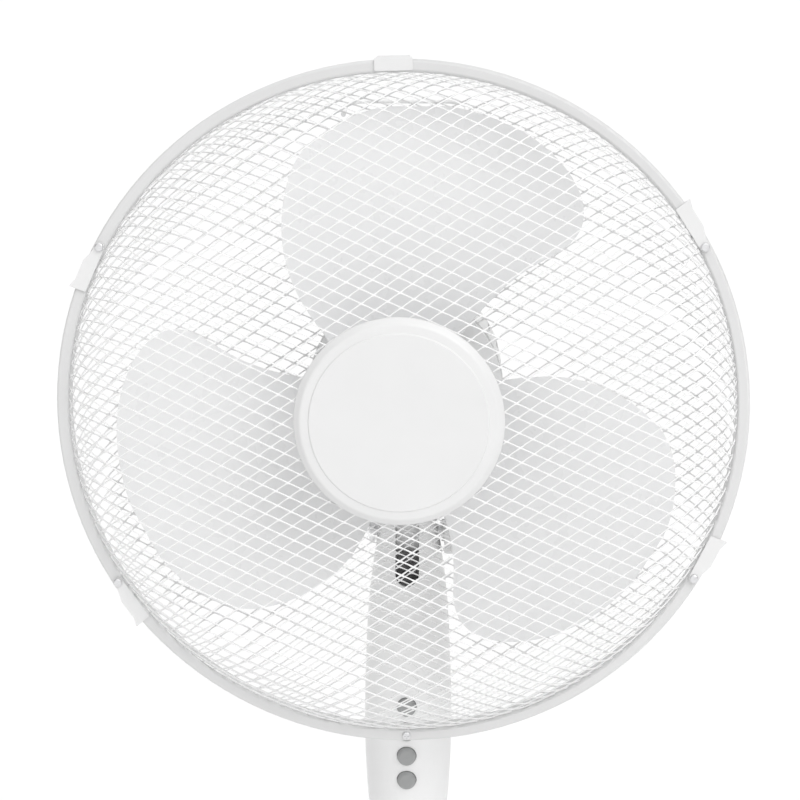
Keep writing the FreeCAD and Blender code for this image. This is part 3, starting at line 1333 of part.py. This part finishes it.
def save_motor():
    cover_front, cover_rear = motor_covers()
    save("motor_cover_front", cover_front)
    save("motor_cover_rear", cover_rear)
    screws = [on_head(screw) for screw in motor_screws()]
    save("motor_end_brackets", on_head(front_bracket()), on_head(rear_bracket()), *screws)
    save("motor_bearings", on_head(bearing(FRONT_BEARING_S)), on_head(bearing(REAR_BEARING_S)))
    save("motor_stator", on_head(stator()))
    save("motor_windings", *[on_head(ring) for ring in windings()])
    save("motor_rotor", on_head(rotor()))
    save("motor_shaft", on_head(motor_shaft()), on_head(worm()))
    save("run_capacitor", run_capacitor())
    save("fan_blade", on_head(fan_blade()))
    save("blade_nut", on_head(blade_nut()))


def save_guards():
    save("guard_lock_nut", on_head(guard_lock_nut()))
    save("rear_guard_plate", on_head(guard_plate()), on_head(guard_clamp_ring()))
    save("rear_guard_ring", on_head(rear(guard_ring())))
    rear_mesh = guard_mesh(REAR_CROWN, REAR_SHOULDER_R, REAR_SHOULDER_DROP, REAR_HOLE_R)
    save("rear_guard_mesh", *[on_head(rear(piece)) for piece in rear_mesh])
    save("carry_handle", on_head(carry_handle()))
    save("front_guard_ring", on_head(front_guard_ring()))
    front_mesh = guard_mesh(FRONT_CROWN, FRONT_SHOULDER_R, FRONT_SHOULDER_DROP, FRONT_HOLE_R)
    save("front_guard_mesh", *[on_head(piece) for piece in front_mesh])
    save("centre_cap", on_head(centre_cap()))
    save("cap_backing_plate", on_head(cap_backing_plate()))
    for name, angle in CLIP_ANGLES.items():
        save(name, on_head(swing_clip(angle)))
    save("top_hook", on_head(top_hook()))
    fasteners = clip_rivets() + cap_screws() + [safety_screw(), safety_nut()]
    save("guard_fasteners", *[on_head(fastener) for fastener in fasteners])


def main():
    os.makedirs("parts", exist_ok=True)
    save_base()
    save_column()
    save_swing()
    save_motor()
    save_guards()


main()
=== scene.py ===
"""Looks of the pedestal fan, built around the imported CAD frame."""

import json
import math

import bmesh
import bpy
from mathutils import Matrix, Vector


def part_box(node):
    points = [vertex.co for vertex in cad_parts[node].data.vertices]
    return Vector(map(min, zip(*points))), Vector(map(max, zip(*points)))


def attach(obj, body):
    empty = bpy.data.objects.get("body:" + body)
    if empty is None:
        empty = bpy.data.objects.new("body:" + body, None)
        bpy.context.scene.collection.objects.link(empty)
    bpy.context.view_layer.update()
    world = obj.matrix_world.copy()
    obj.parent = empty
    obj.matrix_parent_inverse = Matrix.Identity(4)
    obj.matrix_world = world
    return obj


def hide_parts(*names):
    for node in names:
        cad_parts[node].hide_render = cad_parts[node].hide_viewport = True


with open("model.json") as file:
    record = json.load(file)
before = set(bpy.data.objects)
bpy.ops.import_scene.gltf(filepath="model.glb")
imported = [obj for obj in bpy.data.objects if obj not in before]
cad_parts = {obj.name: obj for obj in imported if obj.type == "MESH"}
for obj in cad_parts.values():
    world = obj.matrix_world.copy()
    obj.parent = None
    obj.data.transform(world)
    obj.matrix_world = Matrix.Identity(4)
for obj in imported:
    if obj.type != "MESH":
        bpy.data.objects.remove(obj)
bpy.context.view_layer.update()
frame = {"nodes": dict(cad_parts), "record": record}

# Sizes in metres
STRAND_PITCH = 0.0082        # between neighbouring strands of one direction
STRAND_TURN = 5.5            # lean of the diamonds' long diagonal, in degrees
STRAND_HALF_ANGLE = 30.0     # a strand's angle to the long diagonal
STRAND_HALF = 0.0005         # half a strand's thickness
STRAND_HALF_WIDE = 0.00046   # half a strand's width between two bonds
BOND_HALF_WIDE = 0.00076     # half its width where it is bonded to the strand it crosses
STRAND_BOW = 0.00024         # how far a strand bows up between two bonds
STEPS_PER_CELL = 4
SECTION_SIDES = 6
MESH_RIM_R = 0.2152          # where the mesh meets the rim, from the fan's axis
MESH_RIM_S = 0.0035          # and from the guards' joint plane

# Each dome: height of its crown, shoulder's radius, shoulder's drop, radius of the hole, facing
FRONT_DOME = (0.046, 0.168, 0.007, 0.054, 1)
REAR_DOME = (0.074, 0.160, 0.010, 0.056, -1)

# Camera
SENSOR_WIDTH = 36.0
LENS = 97.8
AZIMUTH = 2.2
ELEVATION = 10.65
AIM_OFFSET = (-0.0012, 0, 0.0052)    # from the guard's middle
DISTANCE = 1.40
CLIP_END = 1000.0

# Light
FLOOR_RADIUS = 400.0
WORLD_FRONT = 1.12           # strength of the world's light from front and back
WORLD_SIDE = 0.28            # and from the sides
SIDE_START = 0.15            # where, along the world's X, it starts to fall
SIDE_END = 0.95
BACKDROP = 1.05
SUN_ENERGY = 1.28
SUN_SIZE = 40                # degrees
SUN_DIRECTION = (-0.6, 0.75, -0.85)


def ring_centre():
    """Middle of the guard's rim, on the joint plane of the two guards."""
    low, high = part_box("front_guard_ring")
    return Vector(((low.x + high.x) / 2, high.y, (low.z + high.z) / 2))


HUB = ring_centre()


# Materials -----------------------------------------------------------------------------------

class Surface:
    """A node-based material under construction."""

    def __init__(self, name, **values):
        self.material = bpy.data.materials.new(name)
        self.material.use_nodes = True
        self.tree = self.material.node_tree
        self.shader = self.tree.nodes["Principled BSDF"]
        for socket, value in values.items():
            self.shader.inputs[socket.replace("_", " ")].default_value = value
        self.place = self.add("ShaderNodeTexCoord").outputs["Object"]

    def add(self, kind, **settings):
        node = self.tree.nodes.new(kind)
        for name, value in settings.items():
            setattr(node, name, value)
        return node

    def link(self, output, socket):
        self.tree.links.new(output, socket)

    def stretched(self, scale, origin=(0, 0, 0)):
        mapping = self.add("ShaderNodeMapping")
        mapping.inputs["Location"].default_value = [-o * s for o, s in zip(origin, scale)]
        mapping.inputs["Scale"].default_value = scale
        self.link(self.place, mapping.inputs["Vector"])
        return mapping.outputs["Vector"]

    def noise(self, scale, detail=3.0, rough=0.55, vector=None):
        noise = self.add("ShaderNodeTexNoise")
        noise.inputs["Scale"].default_value = scale
        noise.inputs["Detail"].default_value = detail
        noise.inputs["Roughness"].default_value = rough
        self.link(vector or self.place, noise.inputs["Vector"])
        return noise.outputs["Fac"]

    def spread(self, value, low, high, start=0.3, end=0.7):
        reach = self.add("ShaderNodeMapRange")
        reach.inputs["From Min"].default_value = start
        reach.inputs["From Max"].default_value = end
        reach.inputs["To Min"].default_value = low
        reach.inputs["To Max"].default_value = high
        self.link(value, reach.inputs["Value"])
        return reach.outputs["Result"]

    def tones(self, value, *stops):
        """Colour running through the stops (position, colour)."""
        ramp = self.add("ShaderNodeValToRGB")
        ramp.color_ramp.elements[0].position = stops[0][0]
        ramp.color_ramp.elements[0].color = (*stops[0][1], 1)
        ramp.color_ramp.elements[1].position = stops[-1][0]
        ramp.color_ramp.elements[1].color = (*stops[-1][1], 1)
        for position, colour in stops[1:-1]:
            ramp.color_ramp.elements.new(position).color = (*colour, 1)
        self.link(value, ramp.inputs["Fac"])
        return ramp.outputs["Color"]

    def multiplied(self, colour, other, amount):
        mix = self.add("ShaderNodeMix", data_type="RGBA", blend_type="MULTIPLY")
        mix.inputs[0].default_value = amount
        self.link(colour, mix.inputs[6])
        self.link(other, mix.inputs[7])
        return mix.outputs[2]

    def colour(self, output):
        self.link(output, self.shader.inputs["Base Color"])

    def rough(self, output):
        self.link(output, self.shader.inputs["Roughness"])

    def bump(self, height, distance, strength=1.0, before=None):
        bump = self.add("ShaderNodeBump")
        bump.inputs["Distance"].default_value = distance
        bump.inputs["Strength"].default_value = strength
        self.link(height, bump.inputs["Height"])
        if before:
            self.link(before, bump.inputs["Normal"])
        self.link(bump.outputs["Normal"], self.shader.inputs["Normal"])
        return bump.outputs["Normal"]


def shade(colour, factor):
    return tuple(c * factor for c in colour)


def moulded_plastic(name, colour, rough=0.36, grain=1400.0, depth=0.00002, tone=0.03):
    """Moulded plastic: faint cloudy tone, satin patches and a fine eroded grain."""
    s = Surface(name, IOR=1.5, Specular_IOR_Level=0.5)
    cloud = s.noise(9.0, 4.0, 0.6)
    s.colour(s.tones(cloud, (0.3, shade(colour, 1 - tone)), (0.55, colour),
                     (0.75, shade(colour, 1 + tone / 2))))
    s.rough(s.spread(s.noise(38.0, 5.0, 0.65), rough - 0.05, rough + 0.06))
    sink = s.bump(s.noise(26.0, 1.0), 0.00012, 0.35)
    s.bump(s.noise(grain, 2.0, 0.6), depth, 0.6, sink)
    return s.material


def powder_coat(name, colour, rough=0.34, peel=420.0, depth=0.00003, tone=0.02):
    """Baked paint on steel: orange peel under a thin glossy skin."""
    s = Surface(name, IOR=1.5, Coat_Weight=0.25, Coat_Roughness=0.12)
    cloud = s.noise(14.0, 3.0, 0.6)
    s.colour(s.tones(cloud, (0.3, shade(colour, 1 - tone)), (0.7, shade(colour, 1 + tone / 2))))
    s.rough(s.spread(s.noise(60.0, 4.0), rough - 0.06, rough + 0.05))
    s.bump(s.noise(peel, 1.5, 0.5), depth, 0.7)
    return s.material


def rubber(name, colour):
    s = Surface(name, IOR=1.5, Specular_IOR_Level=0.35)
    dust = s.noise(55.0, 6.0, 0.7)
    s.colour(s.tones(dust, (0.35, colour), (0.62, shade(colour, 1.5)), (0.8, shade(colour, 2.4))))
    s.rough(s.spread(dust, 0.62, 0.88))
    s.bump(s.noise(1600.0, 3.0, 0.7), 0.00006, 0.8)
    return s.material


def metal(name, colour, rough, streak=(1, 1, 1), grain=300.0, tone=0.12, depth=0.00002, shine=1.0):
    """Bare or plated metal with machining or drawing marks along one direction."""
    s = Surface(name, Metallic=shine, IOR=1.5)
    marks = s.noise(grain, 4.0, 0.6, s.stretched(streak))
    s.colour(s.tones(marks, (0.3, shade(colour, 1 - tone)), (0.7, shade(colour, 1 + tone / 3))))
    s.rough(s.spread(s.noise(45.0, 5.0, 0.65), rough - 0.05, rough + 0.12))
    s.bump(marks, depth, 0.6)
    return s.material


def laminations(name):
    """Stack of pressed steel sheets: fine lines across the fan's axis."""
    s = Surface(name, Metallic=0.9)
    lines = s.add("ShaderNodeTexWave", wave_type="BANDS", bands_direction="Y")
    lines.inputs["Scale"].default_value = 320.0
    lines.inputs["Distortion"].default_value = 0.4
    s.link(s.place, lines.inputs["Vector"])
    s.colour(s.tones(lines.outputs["Fac"], (0.2, (0.16, 0.16, 0.17)), (0.8, (0.42, 0.42, 0.43))))
    s.rough(s.spread(s.noise(80.0), 0.4, 0.6))
    s.bump(lines.outputs["Fac"], 0.00015)
    return s.material


def windings(name):
    """Enamelled copper wire laid round and round."""
    s = Surface(name, Metallic=0.85, Coat_Weight=0.6, Coat_Roughness=0.2)
    turns = s.add("ShaderNodeTexWave", wave_type="RINGS", rings_direction="Y")
    turns.inputs["Scale"].default_value = 260.0
    turns.inputs["Distortion"].default_value = 1.5
    s.link(s.stretched((1, 1, 1), HUB), turns.inputs["Vector"])
    s.colour(s.tones(turns.outputs["Fac"], (0.1, (0.2, 0.06, 0.025)), (0.9, (0.62, 0.25, 0.11))))
    s.rough(s.spread(s.noise(70.0), 0.25, 0.45))
    s.bump(turns.outputs["Fac"], 0.0003)
    return s.material


def blade_plastic(name):
    """Pale grey moulded blades: glossy, with painted shade that darkens them towards the hub, and flow
    marks running outward.
    """
    s = Surface(name, IOR=1.5, Specular_IOR_Level=0.5, Subsurface_Weight=0.06, Subsurface_Scale=0.004)
    s.shader.inputs["Subsurface Radius"].default_value = (1.0, 1.0, 1.0)
    # colour runs from darker at the hub to paler outward: painted shade towards the hub
    outward = s.add("ShaderNodeVectorMath", operation="LENGTH")
    s.link(s.stretched((1, 0, 1), HUB), outward.inputs[0])
    hub_painted_shade = s.tones(s.spread(outward.outputs["Value"], 0.0, 1.0, 0.03, 0.19),
                    (0.0, (0.72, 0.724, 0.728)), (0.35, (0.79, 0.792, 0.795)), (1.0, (0.845, 0.847, 0.849)))
    cloud = s.tones(s.noise(11.0, 4.0, 0.6), (0.3, (0.975, 0.975, 0.978)), (0.7, (1.0, 1.0, 1.0)))
    s.colour(s.multiplied(hub_painted_shade, cloud, 1.0))
    s.rough(s.spread(s.noise(30.0, 4.0, 0.6), 0.24, 0.34))
    flow = s.bump(s.noise(5.0, 2.0, 0.5, s.stretched((9, 1, 9), HUB)), 0.0002, 0.25)
    s.bump(s.noise(900.0, 2.0), 0.00001, 0.5, flow)
    return s.material


def make_materials():
    white = (0.745, 0.745, 0.745)
    return {
        "white_paint": powder_coat("white_paint", (0.79, 0.79, 0.785)),
        "white_plastic": moulded_plastic("white_plastic", white),
        "rubber": rubber("rubber", (0.035, 0.035, 0.036)),
        "zinc": metal("zinc", (0.78, 0.78, 0.79), 0.34, (1, 1, 6)),
        "nylon": moulded_plastic("nylon", (0.74, 0.72, 0.66), 0.45, 900.0, 0.00003, 0.05),
        "enamelled_tube": powder_coat("enamelled_tube", (0.80, 0.80, 0.80), 0.2, 260.0, 0.00002),
        "cast_alloy": metal("cast_alloy", (0.6, 0.6, 0.61), 0.5, (1, 1, 1), 650.0, 0.12, 0.00012, 0.3),
        "dark_plastic": moulded_plastic("dark_plastic", (0.05, 0.05, 0.052), 0.42, 1500.0, 0.00003, 0.15),
        "grey_plastic": moulded_plastic("grey_plastic", (0.335, 0.34, 0.34), 0.3, 1600.0, 0.000015, 0.05),
        "blade_plastic": blade_plastic("blade_plastic"),
        "steel": metal("steel", (0.56, 0.56, 0.57), 0.3, (1, 0.05, 1), 700.0, 0.15),
        "lamination": laminations("lamination"),
        "copper_winding": windings("copper_winding"),
        "sintered_bronze": metal("sintered_bronze", (0.52, 0.36, 0.2), 0.48, (1, 1, 1), 1500.0,
                                 0.25, 0.00006),
        "white_wire": powder_coat("white_wire", (0.87, 0.87, 0.87), 0.3, 900.0, 0.00004),
        "white_clip": moulded_plastic("white_clip", (0.76, 0.76, 0.76), 0.33),
        # the guards' rings: a darker copy of the white plastic, painted shade
        "rim": moulded_plastic("rim_plastic_painted_shade", (0.675, 0.675, 0.675)),
        # the control housing: a lighter copy of the white plastic, painted light
        "housing": moulded_plastic("housing_plastic_painted_light", (0.85, 0.85, 0.85)),
    }


def dress(piece, material):
    piece.data.materials.clear()
    piece.data.materials.append(material)


# Guards --------------------------------------------------------------------------------------

class Dome:
    """Outline of a guard, and the way a flat sheet of mesh lies on it."""

    def __init__(self, crown, shoulder_r, drop):
        self.crown = crown
        self.sphere = (shoulder_r ** 2 + drop ** 2) / (2 * drop)
        self.lean = math.asin(shoulder_r / self.sphere)
        shoulder = Vector((shoulder_r, crown - drop))
        inward = Vector((-math.sin(self.lean), -math.cos(self.lean)))
        chord = Vector((MESH_RIM_R, MESH_RIM_S)) - shoulder
        self.radius = chord.length_squared / (2 * chord.dot(inward))
        self.centre = shoulder + inward * self.radius
        steepest = math.atan2(MESH_RIM_R - self.centre.x, MESH_RIM_S - self.centre.y)
        self.crown_reach = self.sphere * self.lean
        self.reach = self.crown_reach + self.radius * (steepest - self.lean)

    def flat(self, r):
        """Distance along the sheet, from the axis to a place on the crown."""
        return self.sphere * math.asin(r / self.sphere)

    def lay(self, place, facing):
        """World point and outward normal of a place on the flat sheet."""
        along = min(place.length, self.reach)
        if along <= self.crown_reach:
            steep = along / self.sphere
            r = self.sphere * math.sin(steep)
            height = self.crown - self.sphere + self.sphere * math.cos(steep)
        else:
            steep = self.lean + (along - self.crown_reach) / self.radius
            r = self.centre.x + self.radius * math.sin(steep)
            height = self.centre.y + self.radius * math.cos(steep)
        out = place.normalized()
        point = HUB + Vector((out.x * r, -facing * height, out.y * r))
        normal = Vector((out.x * math.sin(steep), -facing * math.cos(steep), out.y * math.sin(steep)))
        return point, normal


def strand_line(offset, family, start, end):
    """Points along a strand of one direction: place on the flat sheet, and half width."""
    angle = math.radians(STRAND_TURN + family * STRAND_HALF_ANGLE)
    along = Vector((math.cos(angle), math.sin(angle)))
    across = Vector((-along.y, along.x))
    upward = Vector((-math.sin(math.radians(STRAND_TURN)), math.cos(math.radians(STRAND_TURN))))
    # bonds lie where strands of the other direction cross this one
    between = STRAND_PITCH / math.sin(math.radians(2 * STRAND_HALF_ANGLE))
    shift = offset / math.tan(math.radians(2 * STRAND_HALF_ANGLE)) * -family
    step = between / STEPS_PER_CELL
    first = math.floor((start - shift) / step) + 1
    last = math.ceil((end - shift) / step) - 1
    places = [start] + [shift + step * k for k in range(first, last + 1)] + [end]
    line = []
    for place in places:
        phase = ((place - shift) / between) % 1.0
        near = math.cos(math.pi * phase) ** 2
        wide = STRAND_HALF_WIDE + (BOND_HALF_WIDE - STRAND_HALF_WIDE) * near ** 3
        bow = STRAND_BOW * math.sin(math.pi * phase)
        line.append((along * place + across * offset + upward * bow, wide))
    return line


def add_strand(bm, line, dome, facing):
    """A strand with a flattened round section, following the dome."""
    points = []
    for place, wide in line:
        point, normal = dome.lay(place, facing)
        points.append((point, normal, wide))
    rings = []
    for i, (point, normal, wide) in enumerate(points):
        before = points[max(i - 1, 0)][0]
        after = points[min(i + 1, len(points) - 1)][0]
        tangent = (after - before).normalized()
        side = tangent.cross(normal).normalized()
        normal = side.cross(tangent)
        ring = []
        for k in range(SECTION_SIDES):
            turn = 2 * math.pi * (k + 0.5) / SECTION_SIDES
            ring.append(bm.verts.new(point + side * (wide * math.cos(turn))
                                     + normal * (STRAND_HALF * math.sin(turn))))
        rings.append(ring)
    for a, b in zip(rings, rings[1:]):
        for k in range(SECTION_SIDES):
            n = (k + 1) % SECTION_SIDES
            bm.faces.new((a[k], a[n], b[n], b[k])).smooth = True
    bm.faces.new(tuple(reversed(rings[0])))
    bm.faces.new(tuple(rings[-1]))


def mesh_guard(name, crown, shoulder_r, drop, hole_r, facing):
    """Diamond mesh of one guard: strands of two directions, bonded where they cross."""
    dome = Dome(crown, shoulder_r, drop)
    hole = dome.flat(hole_r)
    bm = bmesh.new()
    count = int(dome.reach / STRAND_PITCH)
    for family in (-1, 1):
        for index in range(-count, count + 1):
            offset = index * STRAND_PITCH
            end = math.sqrt(dome.reach ** 2 - offset ** 2)
            if abs(offset) < hole:
                inner = math.sqrt(hole ** 2 - offset ** 2)
                spans = ((-end, -inner), (inner, end))
            else:
                spans = ((-end, end),)
            for start, stop in spans:
                add_strand(bm, strand_line(offset, family, start, stop), dome, facing)
    bmesh.ops.recalc_face_normals(bm, faces=bm.faces)
    data = bpy.data.meshes.new(name)
    bm.to_mesh(data)
    bm.free()
    piece = bpy.data.objects.new(name, data)
    bpy.context.scene.collection.objects.link(piece)
    return piece


# Stage ---------------------------------------------------------------------------------------

def make_camera():
    data = bpy.data.cameras.new("camera")
    data.sensor_width = SENSOR_WIDTH
    data.lens = LENS
    data.clip_end = CLIP_END
    camera = bpy.data.objects.new("camera", data)
    bpy.context.scene.collection.objects.link(camera)
    azimuth = math.radians(AZIMUTH)
    elevation = math.radians(ELEVATION)
    away = Vector((math.sin(azimuth) * math.cos(elevation), -math.cos(azimuth) * math.cos(elevation),
                   math.sin(elevation)))
    camera.location = HUB + Vector(AIM_OFFSET) + away * DISTANCE
    camera.rotation_mode = "QUATERNION"
    camera.rotation_quaternion = (-away).to_track_quat("-Z", "Y")
    bpy.context.scene.camera = camera


def make_floor():
    bm = bmesh.new()
    bmesh.ops.create_circle(bm, cap_ends=True, radius=FLOOR_RADIUS, segments=96)
    data = bpy.data.meshes.new("floor")
    bm.to_mesh(data)
    bm.free()
    floor = bpy.data.objects.new("floor", data)
    bpy.context.scene.collection.objects.link(floor)
    s = Surface("floor", Roughness=0.8, Specular_IOR_Level=0.1)
    s.colour(s.tones(s.noise(0.7, 2.0), (0.3, (0.93, 0.93, 0.93)), (0.7, (0.95, 0.95, 0.95))))
    dress(floor, s.material)


def make_light():
    world = bpy.data.worlds.new("studio")
    bpy.context.scene.world = world
    world.use_nodes = True
    tree = world.node_tree
    background = tree.nodes["Background"]
    place = tree.nodes.new("ShaderNodeTexCoord")
    split = tree.nodes.new("ShaderNodeSeparateXYZ")
    side = tree.nodes.new("ShaderNodeMath")
    side.operation = "ABSOLUTE"
    reach = tree.nodes.new("ShaderNodeMapRange")
    reach.interpolation_type = "SMOOTHSTEP"
    reach.inputs["From Min"].default_value = SIDE_START
    reach.inputs["From Max"].default_value = SIDE_END
    reach.inputs["To Min"].default_value = WORLD_FRONT
    reach.inputs["To Max"].default_value = WORLD_SIDE
    tree.links.new(place.outputs["Generated"], split.inputs[0])
    tree.links.new(split.outputs["X"], side.inputs[0])
    tree.links.new(side.outputs[0], reach.inputs["Value"])
    # the backdrop itself stays white all round
    path = tree.nodes.new("ShaderNodeLightPath")
    seen = tree.nodes.new("ShaderNodeMix")
    seen.inputs[3].default_value = BACKDROP
    tree.links.new(path.outputs["Is Camera Ray"], seen.inputs[0])
    tree.links.new(reach.outputs["Result"], seen.inputs[2])
    tree.links.new(seen.outputs[0], background.inputs["Strength"])
    background.inputs["Color"].default_value = (1, 1, 1, 1)
    sun = bpy.data.lights.new("soft_key", "SUN")
    sun.energy = SUN_ENERGY
    sun.angle = math.radians(SUN_SIZE)
    lamp = bpy.data.objects.new("soft_key", sun)
    bpy.context.scene.collection.objects.link(lamp)
    lamp.rotation_mode = "QUATERNION"
    lamp.rotation_quaternion = Vector(SUN_DIRECTION).normalized().to_track_quat("-Z", "Y")


make_camera()
make_floor()
make_light()
bpy.context.scene.view_settings.view_transform = "Standard"

materials = make_materials()
for part in frame["record"]["subparts"]:
    node = part["node"]
    # rings and control housing take darker and lighter copies of the white plastic: painted shade and
    # painted light
    if node in ("front_guard_ring", "rear_guard_ring"):
        finish = "rim"
    elif node in ("control_housing_front", "control_housing_rear"):
        finish = "housing"
    else:
        finish = part["material_slot"]
    dress(frame["nodes"][node], materials[finish])


def add_guard(node, name, *shape):
    piece = mesh_guard(name, *shape)
    dress(piece, materials["white_wire"])
    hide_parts(node)
    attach(piece, "head")


add_guard("front_guard_mesh", "front_diamond_mesh", *FRONT_DOME)
add_guard("rear_guard_mesh", "rear_diamond_mesh", *REAR_DOME)
